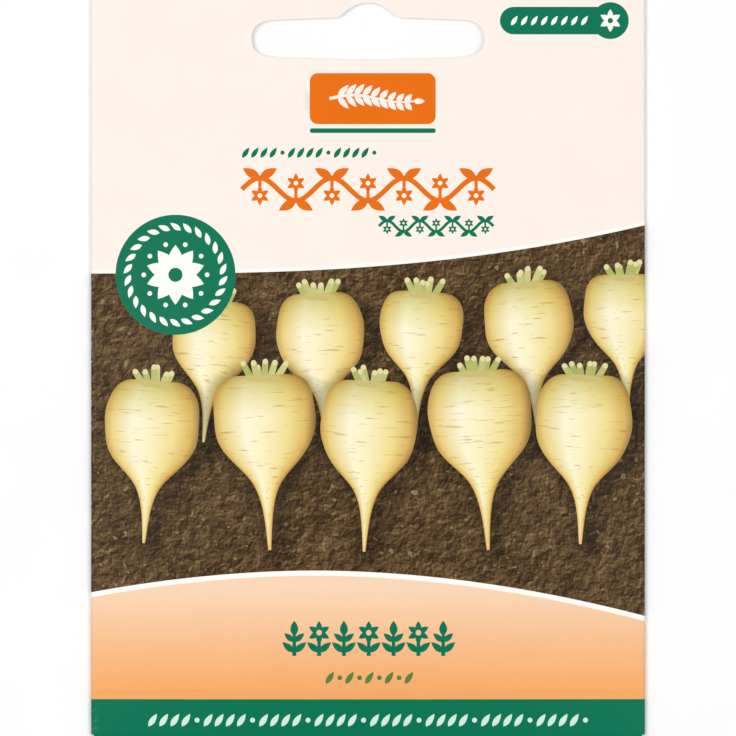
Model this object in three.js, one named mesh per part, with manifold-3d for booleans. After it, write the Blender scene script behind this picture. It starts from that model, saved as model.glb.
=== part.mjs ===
// A filled paper seed packet with a hang slot, lying on its back. Millimetres, +Z up.
// The origin is on the surface that it lies on, under its middle. +X runs across the front to the
// right, and +Y runs up the front, towards the hang slot.
//
// The packet is one sheet of coated paper. Its front wall turns round at both long edges into two
// back walls, which lap in a seam up the middle of the back. The front wall also carries a flap at
// each end, folded over on to the back. The header under the upper flap is punched with the slot.
// Films of glue hold the laps, and loose seeds fill the pouch and swell its front.
import * as THREE from "three";
import { mergeVertices } from "three/addons/utils/BufferGeometryUtils.js";
import Module from "manifold-3d";

// Driving dimensions
const packetWidth = 76;
const packetHeight = 110;
const paper = 0.15;
const glueFilm = 0.1;
const headerDepth = 22;
const bottomFlapDepth = 14;
const flapInset = 0.4;
const flapTaper = 3.2;
const flapCorner = 2.5;
const flapCornerLean = 0.2;
const seamLap = 10;
const seamSlack = 0.5;
const seamRamp = 1.5;

// The front's swell: fullest a little below the pouch's middle, with shallow lumps over it.
const puffHeight = 3.5;
const puffSkew = 0.8;
const lumpDepth = 0.07;
const lumpRateX = 0.21;
const lumpRateY = 0.15;
const lumpShiftX = 0.6;
const lumpShiftY = -0.4;

// The glue films: how far each runs up the back, and how wide they are.
const seamGlueWidth = 7;
const flapGlueInset = 1.5;
const seamGlueEnds = [-52, 36];
const bottomFlapGlueEnds = [-52.5, -43.5];
const topFlapGlueLowerEnds = [34, 37];
const topFlapGlueUpperEnds = [47.5, 52.5];

// The hang slot: a bar with round ends whose long sides bow a little, and a raised seat for the peg.
// The end round is how far in from its tip each end's curve runs.
const slotLength = 32;
const slotEndHeight = 5.2;
const slotMiddleHeight = 5.8;
const slotEndRound = 3.7;
const slotSeatHeight = 2;
const slotSeatFoot = 8.4;
const slotSeatCrown = 2.6;
const slotFootRounding = 0.3;
const slotCrownRounding = 0.9;
const slotMiddleY = 40.95;

// The seeds: flat ovals, a little domed, in an oval heap that keeps a small gap to the paper.
const seedLength = 6.4;
const seedWidth = 4.8;
const seedThickness = 1.15;
const seedPitch = 5.3;
const seedRowPitch = 4.6;
const seedScatter = 1.1;
const seedTilt = 0.08;
const seedGap = 0.12;
const seedSmallest = 0.92;
const seedSizeRange = 0.16;
const seedCover = 0.6;
const heapMiddleY = -16;
const heapHalfWidth = 25;
const heapHalfLength = 31;
const heapRise = 3.4;
const coreDepth = 0.8;
const coreLeast = 0.1;
const coreShare = 0.93;

// Heights of the paper layers, each the middle of its thickness, from the surface up.
const layerStep = paper + glueFilm;
const flapLevel = paper / 2;
const backLevel = flapLevel + layerStep;
const lapLevel = backLevel + layerStep;
const frontLevel = lapLevel + layerStep;

const halfWidth = packetWidth / 2;
const halfHeight = packetHeight / 2;
const sideFoldRadius = (frontLevel - backLevel) / 2;
const endFoldRadius = (frontLevel - flapLevel) / 2;
const sideFoldX = halfWidth - sideFoldRadius - paper / 2;
const endFoldY = halfHeight - endFoldRadius - paper / 2;
const pouchTop = halfHeight - headerDepth - 1;
const bedFloor = lapLevel + paper / 2 + seedGap;

// How finely the bowed surfaces are faceted.
const columns = 20;
const rowSpacing = 4;
const foldSteps = 6;
const flapFoldSteps = 7;
const outlineSteps = 8;
const coreColumns = 12;
const coreRows = 14;
const coreSides = 18;
const seedSides = 7;
const seedRings = 3;

// How far a cutting or joining solid runs past the piece that it meets, and how close together two
// corners of one solid are taken as the same.
const overrun = 1;
const weldDistance = 1e-5;

const wasm = await Module();
wasm.setup();

// A closed three.js geometry as a solid that can be joined and cut.
function solidOf(geometry) {
  const bare = geometry.clone();
  bare.deleteAttribute("normal");
  bare.deleteAttribute("uv");
  const merged = mergeVertices(bare, weldDistance);
  return new wasm.Manifold(
    new wasm.Mesh({
      numProp: 3,
      vertProperties: new Float32Array(merged.attributes.position.array),
      triVerts: new Uint32Array(merged.index.array),
    }),
  );
}

// A solid as a flat-shaded three.js geometry.
function geometryOf(solid) {
  const mesh = solid.getMesh();
  const geometry = new THREE.BufferGeometry()
    .setAttribute("position", new THREE.BufferAttribute(mesh.vertProperties, 3))
    .setIndex(new THREE.BufferAttribute(mesh.triVerts, 1))
    .toNonIndexed();
  geometry.computeVertexNormals();
  return geometry;
}

// The solid over an outline in X and Y, between two heights.
function prism(shape, low, high) {
  const geometry = new THREE.ExtrudeGeometry(shape, {
    depth: high - low,
    bevelEnabled: false,
    curveSegments: outlineSteps,
  });
  return solidOf(geometry.translate(0, 0, low));
}

function box(x0, x1, y0, y1, z0, z1) {
  return new THREE.BoxGeometry(x1 - x0, y1 - y0, z1 - z0).translate(
    (x0 + x1) / 2,
    (y0 + y1) / 2,
    (z0 + z1) / 2,
  );
}

// The closed skin round a grid of points: upper(i, j) and lower(i, j) give its two sides.
function slab(across, along, upper, lower) {
  const points = [];
  const faces = [];
  const at = (side, i, j) => side * across * along + i * along + j;
  for (const side of [upper, lower])
    for (let i = 0; i < across; i++)
      for (let j = 0; j < along; j++) points.push(...side(i, j));
  const quad = (a, b, c, d) => faces.push(a, b, c, a, c, d);
  for (let i = 0; i + 1 < across; i++)
    for (let j = 0; j + 1 < along; j++) {
      quad(at(0, i, j), at(0, i + 1, j), at(0, i + 1, j + 1), at(0, i, j + 1));
      quad(at(1, i, j), at(1, i, j + 1), at(1, i + 1, j + 1), at(1, i + 1, j));
    }
  for (let i = 0; i + 1 < across; i++) {
    quad(at(1, i, 0), at(1, i + 1, 0), at(0, i + 1, 0), at(0, i, 0));
    const j = along - 1;
    quad(at(0, i, j), at(0, i + 1, j), at(1, i + 1, j), at(1, i, j));
  }
  for (let j = 0; j + 1 < along; j++) {
    quad(at(0, 0, j), at(0, 0, j + 1), at(1, 0, j + 1), at(1, 0, j));
    const i = across - 1;
    quad(at(1, i, j), at(1, i, j + 1), at(0, i, j + 1), at(0, i, j));
  }
  return new THREE.BufferGeometry()
    .setAttribute("position", new THREE.BufferAttribute(new Float32Array(points), 3))
    .setIndex(faces);
}

// How far the seeds push the front wall up at a place. It is nothing at the folds and the header.
function puff(x, y) {
  const u = (y + endFoldY) / (pouchTop + endFoldY);
  if (u <= 0 || u >= 1 || Math.abs(x) >= sideFoldX) return 0;
  const along = Math.sin(Math.PI * u ** puffSkew);
  const across = 1 - (x / sideFoldX) ** 2;
  const lumpX = Math.sin(lumpRateX * x + lumpShiftX);
  const lumpY = Math.cos(lumpRateY * y + lumpShiftY);
  return puffHeight * along * across * (1 + lumpDepth * lumpX * lumpY);
}

// The section across the packet, from one free edge of the back, round the front, to the other.
// Each point has its place and the direction out of the paper there.
function wrapSection() {
  const section = [];
  const lapX = seamLap / 2;
  section.push({ x: lapX, z: lapLevel, nx: 0, nz: -1 });
  section.push({ x: -lapX - seamSlack, z: lapLevel, nx: 0, nz: -1 });
  section.push({ x: -lapX - seamSlack - seamRamp, z: backLevel, nx: 0, nz: -1 });
  const fold = (side, from, to) => {
    for (let i = 0; i <= foldSteps; i++) {
      const angle = from + ((to - from) * i) / foldSteps;
      const nx = Math.cos(angle);
      const nz = Math.sin(angle);
      section.push({
        x: side * sideFoldX + nx * sideFoldRadius,
        z: (frontLevel + backLevel) / 2 + nz * sideFoldRadius,
        nx,
        nz,
      });
    }
  };
  fold(-1, (3 * Math.PI) / 2, Math.PI / 2);
  for (let i = 1; i < columns; i++)
    section.push({
      x: -sideFoldX + (2 * sideFoldX * i) / columns,
      z: frontLevel,
      nx: 0,
      nz: 1,
      front: true,
    });
  fold(1, Math.PI / 2, -Math.PI / 2);
  section.push({ x: -lapX, z: backLevel, nx: 0, nz: -1 });
  return section;
}

// The front and back walls in one wrap, swollen in front.
function wrap() {
  const section = wrapSection();
  const rows = Math.round((2 * endFoldY) / rowSpacing);
  const rowY = (j) => -endFoldY + (2 * endFoldY * j) / rows;
  const side = (sign) => (i, j) => {
    const p = section[i];
    const y = rowY(j);
    const lift = p.front ? puff(p.x, y) : 0;
    return [
      p.x + (sign * p.nx * paper) / 2,
      y,
      p.z + (sign * p.nz * paper) / 2 + lift,
    ];
  };
  return solidOf(slab(section.length, rows + 1, side(1), side(-1)));
}

// The outline of a flap, seen from the front, tapered and with its free corners rounded.
function flapOutline(depth) {
  const root = halfWidth - flapInset;
  const tip = root - flapTaper;
  const low = halfHeight - depth;
  const r = flapCorner;
  const lean = flapCornerLean * r;
  const shape = new THREE.Shape();
  shape.moveTo(-root, halfHeight + overrun);
  shape.lineTo(-root, endFoldY);
  shape.lineTo(-tip - lean, low + r);
  shape.quadraticCurveTo(-tip, low, -tip + r, low);
  shape.lineTo(tip - r, low);
  shape.quadraticCurveTo(tip, low, tip + lean, low + r);
  shape.lineTo(root, endFoldY);
  shape.lineTo(root, halfHeight + overrun);
  return shape;
}

// A flap at the upper end: paper that leaves the front wall, turns over the end and lies on the back.
function flap(depth) {
  const outer = endFoldRadius + paper / 2;
  const inner = endFoldRadius - paper / 2;
  const middle = (frontLevel + flapLevel) / 2;
  const root = endFoldY - overrun;
  const tip = halfHeight - depth - overrun;
  const profile = new THREE.Shape();
  profile.moveTo(root, middle + outer);
  profile.lineTo(endFoldY, middle + outer);
  profile.absarc(endFoldY, middle, outer, Math.PI / 2, -Math.PI / 2, true);
  profile.lineTo(tip, middle - outer);
  profile.lineTo(tip, middle - inner);
  profile.lineTo(endFoldY, middle - inner);
  profile.absarc(endFoldY, middle, inner, -Math.PI / 2, Math.PI / 2, false);
  profile.lineTo(root, middle + inner);
  const band = new THREE.ExtrudeGeometry(profile, {
    depth: packetWidth,
    bevelEnabled: false,
    curveSegments: flapFoldSteps,
  });
  // The profile is drawn in Y and Z, so its own axes are turned round to match.
  band.applyMatrix4(
    new THREE.Matrix4().set(0, 0, 1, -halfWidth, 1, 0, 0, 0, 0, 1, 0, 0, 0, 0, 0, 1),
  );
  return solidOf(band).intersect(prism(flapOutline(depth), -overrun, frontLevel + overrun));
}

// The slot's outline, seen from the front.
function slotOutline() {
  const end = slotLength / 2;
  const start = end - slotEndRound;
  const endHalf = slotEndHeight / 2;
  const middleHalf = slotMiddleHeight / 2;
  const foot = slotSeatFoot / 2;
  const crown = slotSeatCrown / 2;
  const low = slotMiddleY - endHalf;
  const high = slotMiddleY + endHalf;
  const footY = slotMiddleY + middleHalf;
  const seatY = footY + slotSeatHeight;
  const bowY = slotMiddleY + endHalf - 2 * middleHalf;
  const footEase = foot - slotFootRounding;
  const shape = new THREE.Shape();
  shape.moveTo(-end, slotMiddleY);
  shape.quadraticCurveTo(-end, low, -start, low);
  shape.quadraticCurveTo(0, bowY, start, low);
  shape.quadraticCurveTo(end, low, end, slotMiddleY);
  shape.quadraticCurveTo(end, high, start, high);
  shape.lineTo(foot, footY);
  const crownEnd = crown - slotCrownRounding;
  const crownEase = crown + slotCrownRounding;
  shape.bezierCurveTo(footEase, footY, crownEase, seatY, crownEnd, seatY);
  shape.lineTo(-crownEnd, seatY);
  shape.bezierCurveTo(-crownEase, seatY, -footEase, footY, -foot, footY);
  shape.lineTo(-start, high);
  shape.quadraticCurveTo(-end, high, -end, slotMiddleY);
  return shape;
}

function packetSheet() {
  const topFlap = flap(headerDepth);
  const bottomFlap = flap(bottomFlapDepth).mirror([0, 1, 0]);
  const slot = prism(slotOutline(), -overrun, frontLevel + overrun);
  return wrap().add(topFlap).add(bottomFlap).subtract(slot);
}

// A repeatable stream of numbers from 0 to 1.
function seededRandom(seed) {
  let state = seed;
  return () => {
    state = (state * 1664525 + 1013904223) % 4294967296;
    return state / 4294967296;
  };
}

// The height that the seeds may fill at a place: up to the front wall, less the gap.
function roomTop(x, y) {
  return frontLevel - paper / 2 - 2 * seedGap + puff(x, y);
}

// How far out a place is in the heap's oval outline, from 0 at its middle to 1 at its edge.
function heapReach(x, y) {
  return Math.hypot(x / heapHalfWidth, (y - heapMiddleY) / heapHalfLength);
}

// The top of the heap: it fills the pouch in the middle and thins to one seed at its edge.
function heapTop(x, y) {
  const mound = bedFloor + seedThickness + heapRise * Math.max(0, 1 - heapReach(x, y) ** 2);
  return Math.min(roomTop(x, y), mound);
}

// The packed seeds inside the heap, as one solid a little below its top.
function heapCore() {
  const x = (i) => heapHalfWidth * ((2 * i) / coreColumns - 1);
  const y = (j) => heapMiddleY + heapHalfLength * ((2 * j) / coreRows - 1);
  const top = (i, j) => Math.max(bedFloor, heapTop(x(i), y(j)) - coreDepth) + coreLeast;
  const bed = slab(
    coreColumns + 1,
    coreRows + 1,
    (i, j) => [x(i), y(j), top(i, j)],
    (i, j) => [x(i), y(j), bedFloor],
  );
  const tall = 2 * (frontLevel + puffHeight + heapRise);
  const oval = new THREE.CylinderGeometry(1, 1, tall, coreSides)
    .rotateX(Math.PI / 2)
    .scale(heapHalfWidth * coreShare, heapHalfLength * coreShare, 1)
    .translate(0, heapMiddleY, 0);
  return solidOf(bed).intersect(solidOf(oval));
}

// One seed: a flat oval, domed on both faces.
function seed(x, y, z, random) {
  const size = seedSmallest + seedSizeRange * random();
  const turn = new THREE.Euler(
    (random() - 0.5) * 2 * seedTilt,
    (random() - 0.5) * 2 * seedTilt,
    random() * Math.PI,
  );
  const oval = new THREE.SphereGeometry(0.5, seedSides, seedRings)
    .rotateX(Math.PI / 2)
    .scale(seedLength * size, seedWidth * size, seedThickness)
    .applyMatrix4(new THREE.Matrix4().makeRotationFromEuler(turn))
    .translate(x, y, z);
  return solidOf(oval);
}

// The heap: its outer seeds on a staggered grid, lapping one another and sunk in the core, so that
// it is one body.
function seedHeap() {
  const random = seededRandom(11);
  const seeds = [heapCore()];
  const rows = Math.ceil((2 * heapHalfLength) / seedRowPitch);
  const perRow = Math.ceil((2 * heapHalfWidth) / seedPitch) + 1;
  for (let row = 0; row <= rows; row++)
    for (let i = 0; i < perRow; i++) {
      const stagger = (row % 2) / 2 - 0.25;
      const scatter = () => (random() - 0.5) * seedScatter;
      const x = (i + 0.5 + stagger - perRow / 2) * seedPitch + scatter();
      const y = heapMiddleY + (row - rows / 2) * seedRowPitch + scatter();
      const cover = seedCover * seedThickness;
      const z = Math.max(bedFloor + cover, heapTop(x, y) - cover);
      if (heapReach(x, y) < 1) seeds.push(seed(x, y, z, random));
    }
  // The largest outer skin is the heap: pockets that the seeds close off are filled, scraps dropped.
  const skins = wasm.Manifold.union(seeds).decompose();
  return skins.sort((a, b) => b.volume() - a.volume())[0];
}

const coatedPaper = new THREE.MeshStandardMaterial({ color: 0xfef2e8, roughness: 0.5, metalness: 0 });
const driedGlue = new THREE.MeshStandardMaterial({ color: 0xe9dfc0, roughness: 0.35, metalness: 0 });
const seedCoat = new THREE.MeshStandardMaterial({ color: 0xb58f55, roughness: 0.8, metalness: 0 });

function piece(name, geometry, material) {
  const mesh = new THREE.Mesh(geometry, material);
  mesh.name = name;
  return mesh;
}

const flapTopFace = flapLevel + paper / 2;
const backUnderFace = backLevel - paper / 2;
const backTopFace = backLevel + paper / 2;
const lapUnderFace = lapLevel - paper / 2;

// A glue film as wide as this on each side of the middle, between two places up the back.
function glue(name, filmHalfWidth, [start, end], low, high) {
  return piece(name, box(-filmHalfWidth, filmHalfWidth, start, end, low, high), driedGlue);
}

function flapGlue(name, ends) {
  const flapGlueHalfWidth = halfWidth - flapInset - flapTaper - flapGlueInset;
  return glue(name, flapGlueHalfWidth, ends, flapTopFace, backUnderFace);
}

const packet = new THREE.Group();
packet.add(piece("packet_sheet", geometryOf(packetSheet()), coatedPaper));
packet.add(glue("seam_glue", seamGlueWidth / 2, seamGlueEnds, backTopFace, lapUnderFace));
packet.add(flapGlue("bottom_flap_glue", bottomFlapGlueEnds));
packet.add(flapGlue("top_flap_glue_lower", topFlapGlueLowerEnds));
packet.add(flapGlue("top_flap_glue_upper", topFlapGlueUpperEnds));
packet.add(piece("seeds", geometryOf(seedHeap()), seedCoat));

export default packet;
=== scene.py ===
import math
import random

import bmesh
import bpy
import numpy as np
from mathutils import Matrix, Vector
from mathutils.geometry import delaunay_2d_cdt


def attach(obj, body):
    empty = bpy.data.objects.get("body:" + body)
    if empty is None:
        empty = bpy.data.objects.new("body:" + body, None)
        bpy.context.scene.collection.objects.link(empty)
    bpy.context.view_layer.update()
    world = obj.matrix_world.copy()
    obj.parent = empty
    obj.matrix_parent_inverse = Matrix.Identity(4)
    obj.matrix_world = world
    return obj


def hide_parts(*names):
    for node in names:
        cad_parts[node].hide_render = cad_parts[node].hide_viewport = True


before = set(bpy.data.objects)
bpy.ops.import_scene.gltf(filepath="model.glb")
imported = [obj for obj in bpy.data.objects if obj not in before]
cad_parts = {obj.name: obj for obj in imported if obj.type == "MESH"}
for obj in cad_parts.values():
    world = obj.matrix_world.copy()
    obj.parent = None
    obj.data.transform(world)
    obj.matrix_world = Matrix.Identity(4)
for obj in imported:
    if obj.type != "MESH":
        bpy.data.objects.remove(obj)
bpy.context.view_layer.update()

# The blank: one sheet of coated paper, cut flat before it is folded and glued. Its front panel
# carries a back panel at each side, which lap up the middle of the back, and a flap at each end.
# The sheet's sizes are in millimetres, with u and v measured over it while it is flat.
paper = 0.15
glue_gap = 0.1
half_width = 38.0
half_height = 55.0
# Each layer's level is the height of its middle above the table.
layer_step = paper + glue_gap
flap_level = paper / 2
back_level = flap_level + layer_step
lap_level = back_level + layer_step
front_level = lap_level + layer_step
seam_lap = 5.0
seam_slack = 0.5
seam_ramp = 1.5
side_radius = (front_level - back_level) / 2
end_radius = (front_level - flap_level) / 2
side_turn = math.pi * side_radius
end_turn = math.pi * end_radius
side_fold = half_width - side_radius - paper / 2
end_fold = half_height - end_radius - paper / 2
panel_edge = side_fold + side_turn + side_fold + seam_lap
flap_inset = 0.4
flap_taper = 3.2
flap_corner = 2.5
flap_lean = 0.2
flap_root = half_width - flap_inset
flap_tip = flap_root - flap_taper
top_flap_depth = 22.0
bottom_flap_depth = 14.0
# Seen from the front, the outer back panel folds in from the right and the inner one from the left.
outer, inner = 1, -1


def bezier(*controls, steps=8):
    """Points along a curve with these controls, its last one left out."""
    points = []
    for i in range(steps):
        line = [np.array(c, float) for c in controls]
        while len(line) > 1:
            line = [a + (b - a) * i / steps for a, b in zip(line, line[1:])]
        points.append(line[0])
    return points


def behind_side(points, side):
    """Places on the folded back, as places on that side's flat back panel."""
    return [(side * (2 * side_fold + side_turn) - x, y) for x, y in points]


def behind_end(points, end):
    """Places on the folded back, as places on that end's flat flap."""
    return [(x, end * (2 * end_fold + end_turn) - y) for x, y in points]


def flap_outline(depth, end):
    """A flap's tapered outline with rounded free corners, from its right root to its left."""
    low = half_height - depth
    corner_end = (flap_tip - flap_corner, low)
    edge = bezier((flap_tip + flap_lean * flap_corner, low + flap_corner), (flap_tip, low), corner_end)
    right = [(flap_root, end_fold)] + [tuple(p) for p in edge] + [corner_end]
    both = right + [(-x, y) for x, y in reversed(right)]
    return behind_end([(x, end * y) for x, y in both], end)


blank_outline = (
    [(flap_root, end_fold)]
    + flap_outline(top_flap_depth, 1)
    + [(-flap_root, end_fold), (-panel_edge, end_fold), (-panel_edge, -end_fold), (-flap_root, -end_fold)]
    + list(reversed(flap_outline(bottom_flap_depth, -1)))
    + [(flap_root, -end_fold), (panel_edge, -end_fold), (panel_edge, end_fold)]
)

# The hang slot: a bar with round ends and bowed long sides, and a raised seat for the peg. It is
# punched after folding, so the same outline goes through the front, both back panels and the flap.
slot_half_length = 16.0
slot_end_half = 2.6
slot_middle_half = 2.9
slot_round = 3.7
slot_y = 40.95
seat_foot = 4.2
seat_crown = 1.3
foot_rounding = 0.3
crown_rounding = 0.9
seat_height = 2.0
seat_y = slot_y + slot_middle_half + seat_height
clear_of_middle = 0.1


def slot_side(side):
    """The slot's outline on one side of its middle line, from its seat round to its lower edge."""
    foot_y, high, low = slot_y + slot_middle_half, slot_y + slot_end_half, slot_y - slot_end_half
    bow = slot_y + slot_end_half - 2 * slot_middle_half
    start = slot_half_length - slot_round
    points = bezier(
        (seat_crown - crown_rounding, seat_y),
        (seat_crown + crown_rounding, seat_y),
        (seat_foot - foot_rounding, foot_y),
        (seat_foot, foot_y),
    )
    points += bezier((seat_foot, foot_y), (start, high), steps=10)
    points += bezier((start, high), (slot_half_length, high), (slot_half_length, slot_y), steps=10)
    points += bezier((slot_half_length, slot_y), (slot_half_length, low), (start, low), steps=10)
    lower_edge = bezier((start, low), (0, bow), (-start, low), steps=24)
    points += [p for p in lower_edge if p[0] > clear_of_middle]
    return [(side * x, y) for x, y in points]


slot_outline = slot_side(1) + list(reversed(slot_side(-1)))
cut_outs = [
    slot_outline,
    behind_side(slot_outline, outer),
    behind_side(slot_outline, inner),
    behind_end(slot_outline, 1),
]

# The printing: flat inks laid on the blank one over the other before it is cut. Each printed shape
# has an outline, an ink that may vary over it, and a figure, which says what its texture is.
# Colours are given as they look, from 0 to 255.
cream = (254, 242, 232)
white_ink = (255, 254, 248)
leaf_green = (0, 118, 85)
leaf_lean = 0.85
leaf_fullness = 0.9
printed = []


def print_shape(outline, ink, figure="plain", place=None):
    """Adds a printed shape. Its ink is a colour, or gives the colours at an array of places."""
    printed.append({"outline": [tuple(p) for p in outline], "ink": ink, "figure": figure, "place": place})


def disc(x, y, radius, steps=24):
    angles = [2 * math.pi * i / steps for i in range(steps)]
    return [(x + radius * math.cos(a), y + radius * math.sin(a)) for a in angles]


def leaf(x, y, length, width, angle, steps=7):
    """A pointed oval that starts at a place and runs that way, in degrees, fullest before its middle."""
    c, s = math.cos(math.radians(angle)), math.sin(math.radians(angle))
    shares = [i / steps for i in range(steps + 1)]
    upper = [(t, width / 2 * math.sin(math.pi * t**leaf_lean) ** leaf_fullness) for t in shares]
    lower = [(t, -h) for t, h in reversed(upper[1:-1])]
    return [(x + c * t * length - s * h, y + s * t * length + c * h) for t, h in upper + lower]


def stroke(path, start_width, end_width):
    """A tapering line along a path of points."""
    path = np.array(path, float)
    along = np.gradient(path, axis=0)
    along /= np.linalg.norm(along, axis=1)[:, None]
    widths = np.linspace(start_width, end_width, len(path))[:, None]
    out = np.stack([-along[:, 1], along[:, 0]], 1) * widths / 2
    return [tuple(p) for p in np.concatenate([path + out, (path - out)[::-1]])]


def band(lower, upper, reach, steps=96):
    """The outline between two edges, each a height for every place across, out to the reach."""
    across = np.linspace(-reach, reach, steps)
    return [(x, lower(x)) for x in across] + [(x, upper(x)) for x in across[::-1]]


# The front's layout: a cream header, a picture of soil and roots between two curved white lines,
# an orange panel and a green foot bar. The print runs a little way round each fold on to the back.
bleed = 1.6
foot_wrap = 2.6
header_wrap = 30.0
print_reach = side_fold + side_turn + bleed
header_end = end_fold + end_turn + header_wrap
foot_end = -(end_fold + end_turn + foot_wrap)
foot_top = -49.67
header_line = 0.5
panel_line = 0.7
top_y = 8.73
top_rises_from = -29.0
top_rise = 0.000275
top_bend = 2.4
bottom_y = -31.98
bottom_crest = -7.2
bottom_fall = 0.00451
bottom_bend = 1.9
panel_pale = (252, 216, 184)
panel_deep = (249, 171, 103)
panel_fade_top = -34.5
panel_fade_depth = 14.5


def picture_top(x):
    return top_y + top_rise * max(0.0, x - top_rises_from) ** top_bend


def picture_bottom(x):
    return bottom_y - bottom_fall * abs(x - bottom_crest) ** bottom_bend


def panel_ink(places):
    """The orange panel's ink, deeper towards its foot."""
    share = np.clip((panel_fade_top - places[:, 1]) / panel_fade_depth, 0, 1)[:, None]
    return np.array(panel_pale) * (1 - share) + np.array(panel_deep) * share


print_shape(blank_outline, cream)

# The picture's roots: round pale roots with trimmed tops, standing in two rows on dark soil. Each is
# given by its crown's place, length, radius, lean and slimness, those behind first.
root_rows = [
    (-20.6, 5.0, 19.5, 5.7, -0.10, 1.00),
    (-6.8, 6.0, 20.3, 6.0, 0.05, 0.92),
    (7.6, 6.2, 19.6, 5.7, -0.06, 1.08),
    (21.6, 7.6, 20.6, 6.1, 0.08, 0.96),
    (35.2, 8.6, 19.8, 5.7, 0.02, 1.04),
    (-29.2, -6.0, 22.3, 6.5, -0.07, 0.94),
    (-14.4, -5.2, 24.0, 7.0, 0.04, 1.05),
    (0.4, -6.0, 23.4, 6.6, -0.04, 0.97),
    (15.0, -4.6, 24.6, 7.1, 0.06, 1.02),
    (29.8, -5.2, 23.2, 6.6, -0.03, 0.93),
]
root_profile = np.array(
    bezier((0, 0.3), (-0.02, 0.85), (0.09, 1.0), (0.25, 1.0), steps=16)
    + bezier((0.25, 1.0), (0.48, 1.0), (0.52, 0.5), (0.64, 0.26), steps=20)
    + bezier((0.64, 0.26), (0.74, 0.08), (0.86, 0.07), (1.0, 0.03), steps=12)
    + [(1.0, 0.03)]
)
# A root's outline wavers a little, in small waves that differ from root to root.
waver = 0.012
waver_waves = 23
waver_shift = 2.1
# The picture's map measures along every root in shares of this length.
map_length = 50.0


class Root:
    """One root of the picture: where places lie across and along it, and how it shades others."""

    def __init__(self, number, x, y, length, radius, lean, slimness):
        self.number, self.length, self.radius, self.slimness = number, length, radius, slimness
        self.crown = np.array([x, y])
        self.axis = np.array([lean, -1.0]) / math.hypot(lean, 1)
        self.right = np.array([-self.axis[1], self.axis[0]])

    def width(self, along):
        """Half the root's width at shares of its length."""
        return self.radius * np.interp(np.clip(along, 0, 1) ** (1 / self.slimness), *root_profile.T)

    def place(self, places):
        """Across from -1 to 1 and along from 0 to 1, for places on the sheet."""
        from_crown = places - self.crown
        along = from_crown @ self.axis / self.length
        return from_crown @ self.right / self.width(along), along

    def outline(self, steps=56):
        along = np.linspace(0, 1, steps) ** 1.4
        sides = []
        for side in (-1, 1):
            waves = 1 + waver * np.sin(waver_waves * along + waver_shift * self.number + side)
            out = (side * self.width(along) * waves)[:, None] * self.right
            sides.append(self.crown + along[:, None] * self.length * self.axis + out)
        return np.concatenate([sides[0], sides[1][::-1]])

    def shade(self, places, offset, reach, depth):
        """The light left at places under this root's soft shadow."""
        across, along = self.place(places - offset)
        beyond = np.maximum(np.abs(across) - 1, 0) * self.width(along)
        past = np.maximum(np.maximum(-along, along - 1), 0) * self.length
        near = np.clip(1 - np.hypot(beyond, past) / reach, 0, 1)
        return 1 - depth * near * near * (3 - 2 * near)


roots = [Root(i, *row) for i, row in enumerate(root_rows)]
random.seed(5)


def soil_ink(places):
    """How much light reaches the soil past every root's shadow."""
    light = np.ones(len(places))
    for root in roots:
        light *= root.shade(places, offset=np.array([0.9, -0.9]), reach=2.6, depth=0.5)
    return np.repeat(light[:, None], 3, 1) * 255


def root_ink(number):
    """How much light reaches a root past those in front of it."""

    def ink(places):
        light = np.ones(len(places))
        for other in roots[number + 1 :]:
            light *= other.shade(places, offset=np.array([-0.2, 0.3]), reach=2.2, depth=0.42)
        return np.repeat(light[:, None], 3, 1) * 255

    return ink


def root_place(root):
    """Gives places on the sheet their places in the picture's map of this root."""

    def place(places):
        across, along = root.place(places)
        return np.stack([0.5 + 0.5 * np.clip(across, -1, 1), along * root.length / map_length], 1)

    return place


stub_count = 6
stub_fan = 11
stub_fan_jitter = 5
stub_sunk = 0.4
stub_spread = 0.3
widest_lean = 34
stalk_pale = (208, 204, 136)
stalk_green = (168, 178, 96)
stalk_cut = (226, 220, 164)
crown_skin = (204, 190, 118)


def print_trimmed_top(root):
    """The stubs of the leaf stalks, cut short above a root's crown."""
    for i in range(stub_count):
        lean = (i - (stub_count - 1) / 2) * stub_fan + random.uniform(-stub_fan_jitter, stub_fan_jitter)
        height = random.uniform(1.0, 1.9)
        aside = -lean / widest_lean * root.radius * stub_spread
        foot = root.crown + root.right * aside + root.axis * stub_sunk
        heading = math.radians(90 + lean)
        tip = foot + (height + stub_sunk) * np.array([math.cos(heading), math.sin(heading)])
        green = random.uniform(0, 1)
        stalk = tuple(int(a + (b - a) * green) for a, b in zip(stalk_pale, stalk_green))
        print_shape(stroke([foot, tip], 0.95, 0.8), stalk)
        print_shape(disc(*tip, 0.38, 10), stalk_cut)


def print_crown(root):
    """The patch of darker skin from which the stalks grow."""
    middle = root.crown + root.axis * 0.5
    across, along = root.right * root.radius * 0.36, root.axis * 0.42
    print_shape([middle + a * across + b * along for a, b in disc(0, 0, 1, 14)], crown_skin)


print_shape(band(picture_bottom, picture_top, print_reach), soil_ink, "soil")
for root in roots:
    print_trimmed_top(root)
    print_shape(root.outline(), root_ink(root.number), "root", root_place(root))
    print_crown(root)

# The header, the two white lines, the panel and the foot bar are printed over the picture, whose
# own edges they cover.
print_shape(band(lambda x: picture_top(x) + header_line, lambda x: header_end, print_reach), cream)
print_shape(band(picture_top, lambda x: picture_top(x) + header_line, print_reach), white_ink)
print_shape(band(lambda x: foot_top, lambda x: picture_bottom(x) - panel_line, print_reach), panel_ink)
print_shape(band(lambda x: picture_bottom(x) - panel_line, picture_bottom, print_reach), white_ink)
print_shape(band(lambda x: foot_end, lambda x: foot_top, print_reach, 8), leaf_green)

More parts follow.
